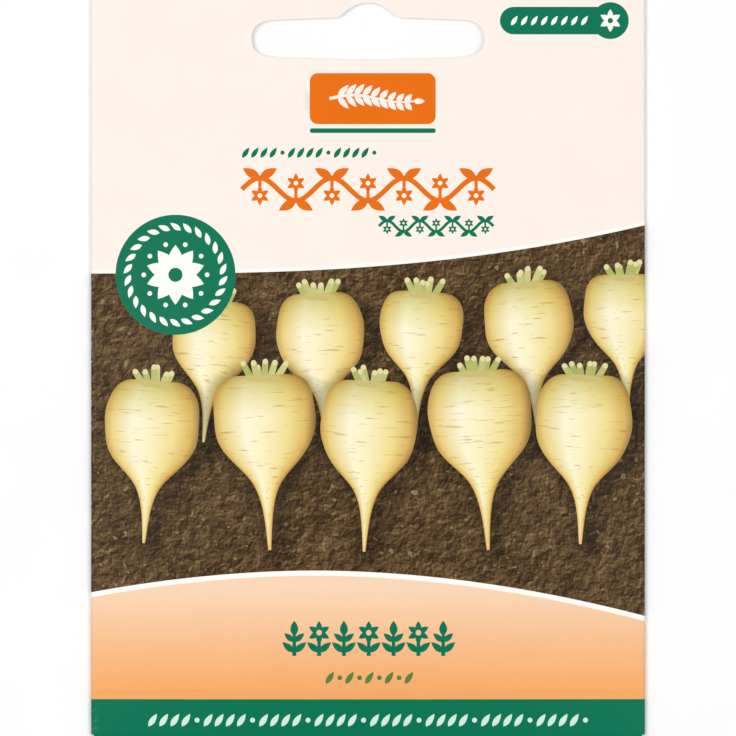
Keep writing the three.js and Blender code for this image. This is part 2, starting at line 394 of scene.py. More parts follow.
# The header's ornaments: an orange plaque with a cream sprig and a green bar under it, a row of
# slanting green leaves and dots, an orange vine, and a shorter green one under its end.
warm_orange = (236, 112, 6)
corner_steps = 6
petal_share = 0.52
heart_share = 0.24
vine_leaf_share = 0.46
row_slant = 56
row_leaf_share = 0.38
row_dot_share = 0.2


def rounded_box(x, y, half_length, half_depth, radius):
    """A box with round corners, from its middle and half sizes."""
    points = []
    for qx, qy, start in ((1, 1, 0), (-1, 1, 90), (-1, -1, 180), (1, -1, 270)):
        for i in range(corner_steps + 1):
            a = math.radians(start + 90 / corner_steps * i)
            cx, cy = x + qx * (half_length - radius), y + qy * (half_depth - radius)
            points.append((cx + radius * math.cos(a), cy + radius * math.sin(a)))
    return points


def print_flower(x, y, petals, radius, ink, heart):
    """A ring of pointed petals round a heart of another ink."""
    for i in range(petals):
        print_shape(leaf(x, y, radius, radius * petal_share, 360 / petals * i + 90, 7), ink)
    print_shape(disc(x, y, radius * heart_share, 14), heart)


def print_vine(x0, x1, y, swing, bays, width, leaf_length, ink):
    """A waving stem with two leaves on each turn and a flower in each bay."""
    leaf_width = leaf_length * vine_leaf_share
    xs = np.linspace(x0, x1, 16 * bays + 1)
    path = np.stack([xs, y + swing * np.sin(np.pi * bays * (xs - x0) / (x1 - x0))], 1)
    print_shape(stroke(path, width, width), ink)
    for k in range(bays):
        side = 1 if k % 2 == 0 else -1
        top = path[16 * k + 8]
        for turn in (30, 150):
            print_shape(leaf(*top, leaf_length, leaf_width, side * turn, 8), ink)
        heart = (top[0], y - side * swing * 0.55)
        print_shape(stroke([top, heart], width * 0.7, width * 0.5), ink)
        print_flower(*heart, 6, leaf_length * 0.5, ink, cream)


def print_row(x0, x1, y, height, count, dot_every, ink):
    """A line of slanting leaves between two places, some of them left to a dot."""
    length = height / math.sin(math.radians(row_slant))
    start = length * math.cos(math.radians(row_slant)) / 2
    for i in range(count):
        x = x0 + (x1 - x0) * (i + 0.5) / count
        if (i + 1) % dot_every == 0:
            print_shape(disc(x, y, height * row_dot_share, 12), ink)
        else:
            print_shape(leaf(x - start, y - height / 2, length, length * row_leaf_share, row_slant, 6), ink)


plaque_x = 0.65
plaque_y = 32.72
plaque_half_length = 8.64
bar_drop = 4.4
sprig_start = -5.3
sprig_step = 1.15
sprig_joints = 10
sprig_turn = 48
print_shape(rounded_box(plaque_x, plaque_y, plaque_half_length, 3.5, 1.1), warm_orange)
sprig = [
    (sprig_start + sprig_step * i, plaque_y + 0.5 * math.sin(0.55 * i)) for i in range(sprig_joints + 1)
]
print_shape(stroke(sprig, 0.45, 0.25), cream)
for i in range(1, sprig_joints):
    for turn in (-sprig_turn, sprig_turn):
        print_shape(leaf(*sprig[i], 2.3 - 0.09 * i, 0.8, turn, 6), cream)
print_shape(leaf(*sprig[-1], 1.6, 0.8, 0, 6), cream)
print_shape(rounded_box(plaque_x, plaque_y - bar_drop, plaque_half_length, 0.32, 0.3), leaf_green)
print_row(-17.4, 1.5, y=25.3, height=1.45, count=15, dot_every=5, ink=leaf_green)
print_vine(-17.3, 17.3, y=20.25, swing=1.55, bays=7, width=0.7, leaf_length=2.7, ink=warm_orange)
print_vine(1.5, 17.2, y=15.2, swing=0.75, bays=7, width=0.4, leaf_length=1.35, ink=leaf_green)

# The badge over the picture's corner and the tab at the top right: solid green, with a ring or a
# row of leaves and a flower in white.
badge_x = -26.4
badge_y = 8.54
badge_radius = 8.24
ring_radius = 6.15
ring_leaves = 26
ring_slant = 62
badge_petals = 10
dot_ring_radius = 4.35
print_shape(disc(badge_x, badge_y, badge_radius, 72), leaf_green)
for i in range(ring_leaves):
    a = 2 * math.pi * i / ring_leaves
    x, y = badge_x + ring_radius * math.cos(a), badge_y + ring_radius * math.sin(a)
    print_shape(leaf(x, y, 1.75, 0.74, math.degrees(a) + ring_slant, 6), white_ink)
print_flower(badge_x, badge_y, badge_petals, 4.1, white_ink, leaf_green)
for i in range(badge_petals):
    a = 2 * math.pi * (i + 0.5) / badge_petals + math.pi / 2
    x, y = badge_x + dot_ring_radius * math.cos(a), badge_y + dot_ring_radius * math.sin(a)
    print_shape(disc(x, y, 0.33, 10), white_ink)

tab_x = 26.4
tab_y = 43.43
tab_half_length = 8.3
tab_half_depth = 1.89
tab_round = 1.88
knob_x = 33.25
knob_radius = 2.53
print_shape(rounded_box(tab_x, tab_y, tab_half_length, tab_half_depth, tab_round), leaf_green)
print_shape(disc(knob_x, tab_y, knob_radius, 40), leaf_green)
print_row(19.4, 30.4, y=tab_y, height=1.3, count=8, dot_every=9, ink=white_ink)
print_flower(knob_x, tab_y, 6, 1.55, white_ink, leaf_green)

# The panel's ornaments: a line of tall dark green sprouts, flowers and buds by turns, over a lighter
# green row. The foot bar carries a row of small pale leaves and dots.
sprouts_x = 0.1
sprouts_y = -41.3
sprout_half_height = 2.4
sprout_count = 7
sprout_spacing = 3.4
sprout_stem = 0.8
olive = (92, 132, 62)
mint = (214, 240, 226)


def print_sprout(x, flowering):
    """A stem with a pair of leaves at its foot, and a flower or a second pair and a bud above them."""
    foot, head = (x, sprouts_y - sprout_half_height), (x, sprouts_y + sprout_stem)
    print_shape(stroke([foot, head], 0.56, 0.42), leaf_green)
    for turn in (-50, 50):
        print_shape(leaf(x, sprouts_y - 1.9, 2.15, 0.92, 90 + turn, 8), leaf_green)
        if not flowering:
            print_shape(leaf(x, sprouts_y - 0.45, 1.8, 0.82, 90 + turn, 8), leaf_green)
    if flowering:
        petal_length = sprouts_y + sprout_half_height - head[1]
        print_flower(*head, 6, petal_length, leaf_green, panel_ink(np.array([head]))[0])
    else:
        print_shape(leaf(x, sprouts_y + 0.35, 2.1, 1.1, 90, 8), leaf_green)


for i in range(sprout_count):
    print_sprout(sprouts_x + sprout_spacing * (i - (sprout_count - 1) / 2), i % 2 == 1)
print_row(-5.9, 6.3, y=-46.7, height=1.7, count=9, dot_every=2, ink=olive)
print_row(-30.3, 30.6, y=-52.55, height=1.75, count=40, dot_every=5, ink=mint)

# The back's print: green rules near the top, a sowing calendar of twelve plain boxes on the outer
# panel over plain rules and a row of leaves, and a tall sprig on the inner panel.
box_left = 8.2
box_top = 12.0
box_pitch = (4.6, 5.4)
box_half = (2.1, 2.4)
box_fill_half = (1.88, 2.18)
months_sown = (2, 3, 4)
months_lifted = (2, 3, 4, 5)
pale_green = (166, 206, 160)
rule_grey = (150, 176, 158)
rule_count = 6
rule_x = 19.7
rule_top = -1.2
rule_pitch = 3.1
rule_half_length = 13.6
last_rule_cut = 1.9
stem_points = 19


def print_on_back(side, outline, ink):
    print_shape(behind_side(outline, side), ink)


for column in range(6):
    for row, months, fill in ((0, months_sown, warm_orange), (1, months_lifted, pale_green)):
        x, y = box_left + box_pitch[0] * column, box_top - box_pitch[1] * row
        print_on_back(outer, rounded_box(x, y, *box_half, 0.4), leaf_green)
        print_on_back(outer, rounded_box(x, y, *box_fill_half, 0.3), fill if column in months else cream)
for i in range(rule_count):
    cut = last_rule_cut if i == rule_count - 1 else 0
    rule = rounded_box(rule_x - cut, rule_top - rule_pitch * i, rule_half_length - cut, 0.28, 0.2)
    print_on_back(outer, rule, rule_grey)
for i in range(7):
    print_on_back(outer, leaf(8.0 + 4.0 * i, -26.5, 3.6, 1.4, 40, 7), leaf_green)
for side, x0, x1 in ((outer, 5.5, 34.0), (inner, -34.0, -8.5)):
    print_on_back(side, rounded_box((x0 + x1) / 2, 24.5, (x1 - x0) / 2, 0.45, 0.4), leaf_green)
stem = [(-21.0 + 1.6 * math.sin(0.35 * i), -30.0 + 2.6 * i) for i in range(stem_points)]
print_on_back(inner, stroke(stem, 0.8, 0.4), leaf_green)
for i in range(2, stem_points):
    for turn in (-sprig_turn, sprig_turn):
        print_on_back(inner, leaf(*stem[i], 6.4 - 0.18 * i, 2.3 - 0.05 * i, 90 + turn, 8), leaf_green)
print_on_back(inner, leaf(*stem[-1], 4.2, 1.7, 90, 8), leaf_green)

# The flat sheet is divided along every printed outline, so each ink has true edges, and along the
# folds, so that they turn cleanly. The divided sheet is then folded and given the paper's thickness.
side_fold_steps = 6
end_fold_steps = 8
lap_steps = 3
long_line_parts = 40
short_line_parts = 30
grid_left, grid_right = -36.8, 37.0
pouch_rows = (-37.6, 18.0)
foot_rows = (-53.6, -38.0)
header_rows = (18.4, 54.0)
back_rows = (-52.5, 53.0)
fine_step = 0.8
coarse_step = 1.6
back_step = 3.0
merge_within = 1e-4
corners, loops, lines = [], [], []


def add_loop(outline):
    """Adds an outline, turned to run anticlockwise as the division needs."""
    x, y = np.array(outline, float).T
    if np.sum(x * np.roll(y, -1) - y * np.roll(x, -1)) < 0:
        outline = list(reversed(outline))
    first = len(corners)
    corners.extend(outline)
    loops.append(list(range(first, first + len(outline))))


def add_line(start, end, steps):
    """Adds a straight line of edges, as at a fold."""
    first = len(corners)
    start, end = np.array(start), np.array(end)
    for i in range(steps + 1):
        corners.append(tuple(start + (end - start) * i / steps))
    lines.extend((k, k + 1) for k in range(first, first + steps))


add_loop(blank_outline)
for outline in cut_outs:
    add_loop(outline)
for shape in printed:
    add_loop(shape["outline"])
for k in range(side_fold_steps + 1):
    u = side_fold + side_turn * k / side_fold_steps
    for side in (-1, 1):
        add_line((side * u, -end_fold), (side * u, end_fold), long_line_parts)
for k in range(end_fold_steps + 1):
    v = end_fold + end_turn * k / end_fold_steps
    for end in (-1, 1):
        add_line((-flap_root, end * v), (flap_root, end * v), short_line_parts)
for k in range(lap_steps + 1):
    lap = seam_lap + seam_slack + seam_ramp * k / lap_steps
    u = behind_side([(-lap, 0)], inner)[0][0]
    add_line((u, -end_fold), (u, end_fold), short_line_parts)
# The pouch gets a fine grid of points, the header and the foot a coarse one, and the back a wide one.
for u in np.arange(grid_left, grid_right, fine_step):
    corners.extend((u, v) for v in np.arange(*pouch_rows, fine_step))
for u in np.arange(grid_left, grid_right, coarse_step):
    for rows in (foot_rows, header_rows):
        corners.extend((u, v) for v in np.arange(*rows, coarse_step))
for side in (-1, 1):
    for u in np.arange(side_fold + back_step, panel_edge - 1, back_step):
        corners.extend((side * u, v) for v in np.arange(*back_rows, back_step))

# Every face comes with the numbers of the outlines that it lies in: the blank, the cut-outs, then
# the print. A face is kept in the blank and out of the cut-outs, and its last outline is its ink.
every_face = 0
places = [Vector(c) for c in corners]
flat, _, pieces, _, _, sources = delaunay_2d_cdt(places, lines, loops, every_face, merge_within, True)
flat = np.array([tuple(c) for c in flat])
cuts = set(range(1, 1 + len(cut_outs)))
kept = [i for i, s in enumerate(sources) if 0 in s and not cuts.intersection(s)]
faces = np.array([pieces[i] for i in kept])
shape_of = np.array([max(sources[i]) for i in kept]) - 1 - len(cut_outs)
used, faces = np.unique(faces, return_inverse=True)
flat, faces = flat[used], faces.reshape(-1, 3)


def folded(flat):
    """Where places on the flat sheet go when it is folded, and which way its printed side faces."""
    u, v = flat.T
    side, end = np.sign(u), np.sign(v)
    past_side = np.maximum(np.abs(u) - side_fold, 0)
    past_end = np.maximum(np.abs(v) - end_fold, 0)
    side_angle = np.minimum(past_side / side_radius, math.pi)
    end_angle = np.minimum(past_end / end_radius, math.pi)
    side_place = side_fold + side_radius * np.sin(side_angle) - np.maximum(past_side - side_turn, 0)
    end_place = end_fold + end_radius * np.sin(end_angle) - np.maximum(past_end - end_turn, 0)
    x = np.where(past_side > 0, side * side_place, u)
    y = np.where(past_end > 0, end * end_place, v)
    z = front_level - side_radius * (1 - np.cos(side_angle)) - end_radius * (1 - np.cos(end_angle))
    on_inner = (side < 0) & (past_side >= side_turn)
    rise = np.clip((x + seam_lap + seam_slack + seam_ramp) / seam_ramp, 0, 1)
    z = z + np.where(on_inner, (lap_level - back_level) * rise * rise * (3 - 2 * rise), 0)
    facing = np.cos(side_angle) * np.cos(end_angle)
    normal = np.stack([side * np.sin(side_angle), end * np.sin(end_angle), facing], 1)
    return np.stack([x, y, z], 1), normal


middle, outward = folded(flat)
skin = np.concatenate([middle + outward * paper / 2, middle - outward * paper / 2])
count = len(flat)
edges = dict.fromkeys(pair for a, b, c in faces for pair in ((a, b), (b, c), (c, a)))
rims = [(b, a, a + count, b + count) for a, b in edges if (b, a) not in edges]
polygons = [tuple(f) for f in faces] + [(a + count, c + count, b + count) for a, b, c in faces] + rims
sheet_mesh = bpy.data.meshes.new("packet_sheet_flat_front")
sheet_mesh.from_pydata((skin / 1000).tolist(), [], polygons)
smooth = np.ones(len(polygons), bool)
smooth[2 * len(faces) :] = False
sheet_mesh.polygons.foreach_set("use_smooth", smooth)
rim_ends = {frozenset(ends) for b, a, low_a, low_b in rims for ends in ((a, b), (low_a, low_b))}
sharp = [frozenset(edge.vertices) in rim_ends for edge in sheet_mesh.edges]
sheet_mesh.edges.foreach_set("use_edge_sharp", sharp)


# Ink, figure and bare paper go on the mesh as attributes: the inks face by face, so that their edges
# stay sharp, and the inside and the cut edges as bare paper.
def as_light(colours):
    """Colours as they look, from 0 to 255, as amounts of light."""
    c = np.asarray(colours, float) / 255
    return np.where(c <= 0.04045, c / 12.92, ((c + 0.055) / 1.055) ** 2.4)


printed_corners = flat[faces].reshape(-1, 2)
corner_shape = np.repeat(shape_of, 3)
ink = np.ones((len(printed_corners), 3))
place = np.zeros((len(printed_corners), 2))
figure = {"soil": np.zeros(len(faces)), "root": np.zeros(len(faces))}
order = np.argsort(corner_shape, kind="stable")
starts = np.searchsorted(corner_shape[order], np.arange(len(printed) + 1))
for number, shape in enumerate(printed):
    here = order[starts[number] : starts[number + 1]]
    if not len(here):
        continue
    colour = shape["ink"](printed_corners[here]) if callable(shape["ink"]) else shape["ink"]
    if shape["figure"] == "plain":
        ink[here] = as_light(colour)
    else:
        ink[here] = np.asarray(colour) / 255
        figure[shape["figure"]][here // 3] = 1.0
    if shape["place"]:
        place[here] = shape["place"](printed_corners[here])
all_corners = sum(len(p) for p in polygons)
colours = np.ones((all_corners, 4))
colours[: len(ink), :3] = ink
sheet_mesh.color_attributes.new("ink", "FLOAT_COLOR", "CORNER").data.foreach_set("color", colours.ravel())
uv = np.zeros((all_corners, 2))
uv[: len(place)] = place
sheet_mesh.uv_layers.new(name="root_place").data.foreach_set("uv", uv.ravel())
for name, values in figure.items():
    padded = np.zeros(len(polygons))
    padded[: len(faces)] = values
    sheet_mesh.attributes.new(name, "FLOAT", "FACE").data.foreach_set("value", padded)
bare = np.ones(len(polygons))
bare[: len(faces)] = 0
sheet_mesh.attributes.new("bare", "FLOAT", "FACE").data.foreach_set("value", bare)
u, v = np.abs(flat.T)
front = ((u < side_fold) & (v < end_fold)).astype(float)
sheet_mesh.attributes.new("front", "FLOAT", "POINT").data.foreach_set("value", np.tile(front, 2))
worn_reach = 0.45
off_fold = np.minimum(np.abs(u - side_fold - side_turn / 2), np.abs(v - end_fold - end_turn / 2))
worn = np.clip(1 - off_fold / worn_reach, 0, 1)
sheet_mesh.attributes.new("worn", "FLOAT", "POINT").data.foreach_set("value", np.tile(worn, 2))
sheet = bpy.data.objects.new("packet_sheet_printed", sheet_mesh)
bpy.context.scene.collection.objects.link(sheet)


# Coated paper: smooth printed face with a slight sheen and a fine fibre under it, worn pale along
# the folds, and matt white where the paper is bare. Soil and roots get their texture here.
def add_node(tree, kind, inputs=None, **settings):
    """Adds a node, with its inputs set to values or linked from other nodes' sockets."""
    made = tree.nodes.new(kind)
    for name, value in settings.items():
        setattr(made, name, value)
    for key, value in (inputs or {}).items():
        if isinstance(value, bpy.types.NodeSocket):
            tree.links.new(value, made.inputs[key])
        else:
            made.inputs[key].default_value = value
    return made


def calc(tree, operation, *values):
    """One sum on numbers or sockets."""
    return add_node(tree, "ShaderNodeMath", dict(enumerate(values)), operation=operation).outputs[0]


def ramp(tree, value, stops):
    """Colours along a value: stops are (place, colour as it looks)."""
    made = add_node(tree, "ShaderNodeValToRGB", {0: value})
    band = made.color_ramp
    while len(band.elements) < len(stops):
        band.elements.new(0.5)
    for element, (at, colour) in zip(band.elements, stops):
        element.position = at
        element.color = (*as_light(colour), 1)
    return made.outputs[0]


def mix(tree, share, a, b, way="MIX"):
    """Colour b over colour a by a share. Each is a socket or a colour as it looks."""
    made = add_node(tree, "ShaderNodeMix", data_type="RGBA", blend_type=way)
    for socket, value in ((made.inputs[0], share), (made.inputs[6], a), (made.inputs[7], b)):
        if isinstance(value, bpy.types.NodeSocket):
            tree.links.new(value, socket)
        else:
            socket.default_value = (*as_light(value), 1) if isinstance(value, tuple) else value
    return made.outputs[2]


def noise(tree, place, scale, detail=2.0, roughness=0.5, output=0):
    settings = {"Vector": place, "Scale": scale, "Detail": detail, "Roughness": roughness}
    return add_node(tree, "ShaderNodeTexNoise", settings).outputs[output]


def attribute(tree, name, output="Fac"):
    return add_node(tree, "ShaderNodeAttribute", attribute_name=name).outputs[output]


def new_material(name):
    material = bpy.data.materials.new(name)
    material.use_nodes = True
    return material, material.node_tree, material.node_tree.nodes["Principled BSDF"]


coated_paper, tree, shader = new_material("coated_paper_printed")
place = add_node(tree, "ShaderNodeTexCoord").outputs["Object"]
# The soil's grains, as repeats to a metre, with how high each kind stands.
clod_scale, clod_height = 300, 0.9
lump_scale, lump_height = 820, 1.5
crumb_scale, crumb_pit = 1250.0, -0.35
grit_scale, grit_height = 2400, 0.7
soil_colours = [
    (0.0, (26, 15, 4)),
    (0.34, (64, 45, 23)),
    (0.52, (95, 73, 43)),
    (0.7, (124, 100, 66)),
    (0.95, (170, 148, 108)),
]
red_soil = (255, 226, 206)
fleck_colour = (186, 166, 130)
towards_light = (-0.00016, 0.00018, 0.0)


def soil_relief(tree, place):
    """Height of the pictured soil: clods, uneven lumps, crumbs with pits between them, and grit."""
    bend = {0: noise(tree, place, 900, 2.0, 0.6, 1), 1: (0.0016, 0.0016, 0.0), 2: place}
    bent = add_node(tree, "ShaderNodeVectorMath", bend, operation="MULTIPLY_ADD").outputs[0]
    height = calc(tree, "MULTIPLY", noise(tree, place, clod_scale, 2.0), clod_height)
    height = calc(tree, "MULTIPLY_ADD", noise(tree, bent, lump_scale, 2.0, 0.6), lump_height, height)
    crumbs = add_node(tree, "ShaderNodeTexVoronoi", {"Vector": bent, "Scale": crumb_scale})
    pits = calc(tree, "POWER", crumbs.outputs["Distance"], 1.6)
    height = calc(tree, "MULTIPLY_ADD", pits, crumb_pit, height)
    return calc(tree, "MULTIPLY_ADD", noise(tree, place, grit_scale, 3.0, 0.6), grit_height, height)


lit_side = add_node(tree, "ShaderNodeVectorMath", {0: place, 1: towards_light}, operation="ADD").outputs[0]
relief = soil_relief(tree, place)
slope = calc(tree, "SUBTRACT", relief, soil_relief(tree, lit_side))
soil_light = calc(tree, "MULTIPLY_ADD", slope, 0.56, calc(tree, "MULTIPLY_ADD", relief, 0.34, -0.015))
soil = ramp(tree, soil_light, soil_colours)
redder = calc(tree, "MULTIPLY", noise(tree, place, 210, 2.0), 0.3)
soil = mix(tree, redder, soil, mix(tree, 1.0, soil, red_soil, "MULTIPLY"))
flecks = calc(tree, "GREATER_THAN", noise(tree, place, 1100, 0.0), 0.79)
soil = mix(tree, calc(tree, "MULTIPLY", flecks, 0.4), soil, fleck_colour)

# The roots' skin: lit from the left, yellower towards the tip, with blotches and short ring marks.
fade_length = 27
ring_pitch = 3.0
skin_across = [
    (0.0, (196, 152, 74)),
    (0.08, (234, 210, 132)),
    (0.3, (255, 253, 228)),
    (0.5, (253, 247, 206)),
    (0.74, (243, 226, 152)),
    (0.92, (216, 176, 92)),
    (1.0, (140, 100, 46)),
]
skin_along = [
    (0.0, (196, 190, 140)),
    (0.1, (238, 234, 205)),
    (0.2, (255, 255, 255)),
    (0.6, (255, 252, 240)),
    (1.0, (228, 192, 128)),
]
blotch_colour = (244, 216, 132)
ring_colour = (172, 124, 58)
on_root = add_node(tree, "ShaderNodeUVMap", uv_map="root_place").outputs[0]
parts = add_node(tree, "ShaderNodeSeparateXYZ", {0: on_root}).outputs
body = ramp(tree, parts["X"], skin_across)
down = ramp(tree, calc(tree, "MULTIPLY", parts["Y"], map_length / fade_length), skin_along)
body = mix(tree, 1.0, body, down, "MULTIPLY")
blotches = noise(tree, place, 260, 2.0)
body = mix(tree, calc(tree, "MULTIPLY", blotches, 0.3), body, blotch_colour)
ring_place = {
    0: calc(tree, "MULTIPLY", parts["X"], 3.6),
    1: calc(tree, "MULTIPLY", parts["Y"], map_length * ring_pitch),
    2: calc(tree, "MULTIPLY", noise(tree, place, 40, 0.0), 9.0),
}
rings = noise(tree, add_node(tree, "ShaderNodeCombineXYZ", ring_place).outputs[0], 1.0, 2.0, 0.6)
ring_range = {"Value": rings, "From Min": 0.6, "From Max": 0.72, "To Min": 0.0, "To Max": 0.6}
marks = add_node(tree, "ShaderNodeMapRange", ring_range).outputs[0]
body = mix(tree, marks, body, ring_colour)

# The ink, with soil and roots where the print has them, then the paper's own fibre and its wear.
crack_colour = (247, 243, 236)
bare_pale, bare_dark = (246, 243, 236), (226, 221, 210)
ink_light = attribute(tree, "ink", "Color")
soil = mix(tree, 1.0, soil, ink_light, "MULTIPLY")
body = mix(tree, 1.0, body, ink_light, "MULTIPLY")
colour = mix(tree, attribute(tree, "soil"), ink_light, soil)
colour = mix(tree, attribute(tree, "root"), colour, body)
fibre = noise(tree, place, 3200, 4.0, 0.6)
mottle = calc(tree, "MULTIPLY_ADD", fibre, 0.05, 0.95)
mottle = calc(tree, "MULTIPLY_ADD", noise(tree, place, 180, 3.0), 0.05, mottle)
mottle = add_node(tree, "ShaderNodeCombineXYZ", {axis: mottle for axis in range(3)}).outputs[0]
colour = mix(tree, 1.0, colour, mottle, "MULTIPLY")
cracked = calc(tree, "GREATER_THAN", noise(tree, place, 1600, 4.0, 0.7), 0.54)
handled = calc(tree, "GREATER_THAN", noise(tree, place, 95, 1.0), 0.56)
cracks = calc(tree, "MULTIPLY", attribute(tree, "worn"), calc(tree, "MULTIPLY", cracked, handled))
colour = mix(tree, calc(tree, "MULTIPLY", cracks, 0.32), colour, crack_colour)
bare = attribute(tree, "bare")
colour = mix(tree, bare, colour, ramp(tree, fibre, [(0.25, bare_dark), (0.75, bare_pale)]))
tree.links.new(colour, shader.inputs["Base Color"])
finish = calc(tree, "MULTIPLY_ADD", noise(tree, place, 420, 3.0), 0.12, 0.36)
finish = calc(tree, "MULTIPLY_ADD", bare, 0.42, finish)
tree.links.new(finish, shader.inputs["Roughness"])
shader.inputs["Specular IOR Level"].default_value = 0.08
bumps = add_node(tree, "ShaderNodeBump", {"Strength": 0.25, "Distance": 0.00002, "Height": fibre}).outputs[0]
tree.links.new(bumps, shader.inputs["Normal"])


# The pouch swells where the seeds press the front wall out, and puckers a little along its sides,
# where the flat paper has too much length for the curve. The tree's sizes are in metres.
swell_lean = 0.8
swell_waves = (210.0, 150.0)
swell_wave_share = 0.07
seed_dent_scale = 190
pucker_scale = 120
pucker_stretch = 0.28


def socket_in(tree, name, kind, value=None):
    """Gives a tree a named input, with its first value."""
    made = tree.interface.new_socket(name=name, in_out="INPUT", socket_type=kind)
    if value is not None:
        made.default_value = value


swell = bpy.data.node_groups.new("swell_pouch", "GeometryNodeTree")
socket_in(swell, "Geometry", "NodeSocketGeometry")
for name, value in (
    ("Swell", 0.00345),
    ("Side fold", side_fold / 1000),
    ("End fold", end_fold / 1000),
    ("Pouch top", 0.032),
    ("Seed relief", 0.00016),
    ("Pucker", 0.00022),
):
    socket_in(swell, name, "NodeSocketFloat", value)
socket_in(swell, "Paper", "NodeSocketMaterial")
swell.interface.new_socket(name="Geometry", in_out="OUTPUT", socket_type="NodeSocketGeometry")
given = add_node(swell, "NodeGroupInput").outputs
at = add_node(swell, "GeometryNodeInputPosition").outputs[0]
x, y, _ = add_node(swell, "ShaderNodeSeparateXYZ", {0: at}).outputs
pouch_length = calc(swell, "ADD", given["Pouch top"], given["End fold"])
run = calc(swell, "DIVIDE", calc(swell, "ADD", y, given["End fold"]), pouch_length)
run = calc(swell, "MINIMUM", calc(swell, "MAXIMUM", run, 0.0), 1.0)
along = calc(swell, "SINE", calc(swell, "MULTIPLY", calc(swell, "POWER", run, swell_lean), math.pi))
share = calc(swell, "DIVIDE", x, given["Side fold"])
across = calc(swell, "MAXIMUM", calc(swell, "SUBTRACT", 1.0, calc(swell, "MULTIPLY", share, share)), 0.0)
wave = calc(
    swell,
    "MULTIPLY",
    calc(swell, "SINE", calc(swell, "MULTIPLY_ADD", x, swell_waves[0], 0.6)),
    calc(swell, "COSINE", calc(swell, "MULTIPLY_ADD", y, swell_waves[1], -0.4)),
)
uneven = calc(swell, "MULTIPLY_ADD", wave, swell_wave_share, 1.0)
lift = calc(swell, "MULTIPLY", calc(swell, "MULTIPLY", along, across), uneven)
dents = calc(swell, "SUBTRACT", noise(swell, at, seed_dent_scale, 1.0), 0.5)
pressed = calc(swell, "MULTIPLY", dents, calc(swell, "MULTIPLY", given["Seed relief"], lift))
sideways = {0: calc(swell, "MULTIPLY", x, pucker_stretch), 1: y}
sideways = add_node(swell, "ShaderNodeCombineXYZ", sideways).outputs[0]
folds = calc(swell, "SUBTRACT", noise(swell, sideways, pucker_scale, 1.0), 0.5)
near_side = calc(swell, "MULTIPLY", across, calc(swell, "SUBTRACT", 1.0, across))
near_side = calc(swell, "MULTIPLY", calc(swell, "MULTIPLY", along, near_side), 4.0)
puckered = calc(swell, "MULTIPLY", calc(swell, "MULTIPLY", folds, given["Pucker"]), near_side)
height = calc(swell, "MULTIPLY", lift, given["Swell"])
height = calc(swell, "ADD", height, calc(swell, "ADD", pressed, puckered))
front_only = add_node(swell, "GeometryNodeInputNamedAttribute", {"Name": "front"}, data_type="FLOAT")
height = calc(swell, "MULTIPLY", height, front_only.outputs["Attribute"])
offset = add_node(swell, "ShaderNodeCombineXYZ", {2: height}).outputs[0]
moved = {"Geometry": given["Geometry"], "Offset": offset}
moved = add_node(swell, "GeometryNodeSetPosition", moved).outputs[0]
painted = {"Geometry": moved, "Material": given["Paper"]}
painted = add_node(swell, "GeometryNodeSetMaterial", painted).outputs[0]
swell.links.new(painted, add_node(swell, "NodeGroupOutput").inputs[0])


def make_plain(owner, tree, settings, name):
    """Runs a geometry tree on an object and returns its result as an object with a plain mesh."""
    modifier = owner.modifiers.new(tree.name, "NODES")
    modifier.node_group = tree
    for item in tree.interface.items_tree:
        if item.in_out == "INPUT" and item.name in settings:
            modifier[item.identifier] = settings[item.name]
    bpy.context.view_layer.update()
    graph = bpy.context.evaluated_depsgraph_get()
    result = owner.evaluated_get(graph)
    mesh = bpy.data.meshes.new_from_object(result, preserve_all_data_layers=True, depsgraph=graph)
    bpy.data.objects.remove(owner)
    made = bpy.data.objects.new(name, mesh)
    bpy.context.scene.collection.objects.link(made)
    return made


sheet = make_plain(sheet, swell, {"Paper": coated_paper}, "packet_sheet_printed")
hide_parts("packet_sheet")
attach(sheet, "root")

# The glue: thin dried films under the back seam and both flaps, laid by the folding machine. Their
# shapes stay as the frame has them, with a slightly glossy, uneven film for a finish.
glue_dark, glue_pale = (226, 214, 176), (240, 232, 206)
dried_glue, tree, shader = new_material("dried_glue_film")
place = add_node(tree, "ShaderNodeTexCoord").outputs["Object"]
pools = noise(tree, place, 300, 3.0)
glue_colour = ramp(tree, pools, [(0.3, glue_dark), (0.7, glue_pale)])
tree.links.new(glue_colour, shader.inputs["Base Color"])
tree.links.new(calc(tree, "MULTIPLY_ADD", pools, 0.3, 0.2), shader.inputs["Roughness"])
for name in ("seam_glue", "bottom_flap_glue", "top_flap_glue_lower", "top_flap_glue_upper"):
    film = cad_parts[name]
    film.data.materials.clear()
    film.data.materials.append(dried_glue)

# The seeds: flat papery ovals with a thin rim and raised ribs, in loose layers inside the pouch. The
# packet is sealed, so they show only if the paper is taken off. Their sizes are in metres.
seed_length = 0.0061
seed_width = 0.0046
seed_thickness = 0.00102
rim_thickness = 0.14
rib_turn = 4 * math.pi
rib_height = 0.12
seed_taper = 0.06


def one_seed():
    """A seed, with its place across and its nearness to the rim kept as attributes for its coat."""
    shape = bmesh.new()
    bmesh.ops.create_uvsphere(shape, u_segments=18, v_segments=8, radius=1.0)
    across, rim = shape.verts.layers.float.new("across"), shape.verts.layers.float.new("rim")
    for vert in shape.verts:
        x, y, z = vert.co
        reach = min(math.hypot(x, y), 1.0)
        vert[across], vert[rim] = x, reach
        dome = rim_thickness + (1 - rim_thickness) * (1 - reach**2) ** 0.9
        rib = 1 + rib_height * math.cos(rib_turn * x) * (1 - reach)
        z = math.copysign(dome * rib, z) if abs(z) > 1e-4 else 0.0
        y = y * (1 - seed_taper * y)
        vert.co = (x * seed_width / 2, y * seed_length / 2, z * seed_thickness / 2)
    mesh = bpy.data.meshes.new("one_seed")
    shape.to_mesh(mesh)
    shape.free()
    mesh.shade_smooth()
    return bpy.data.objects.new("one_seed", mesh)


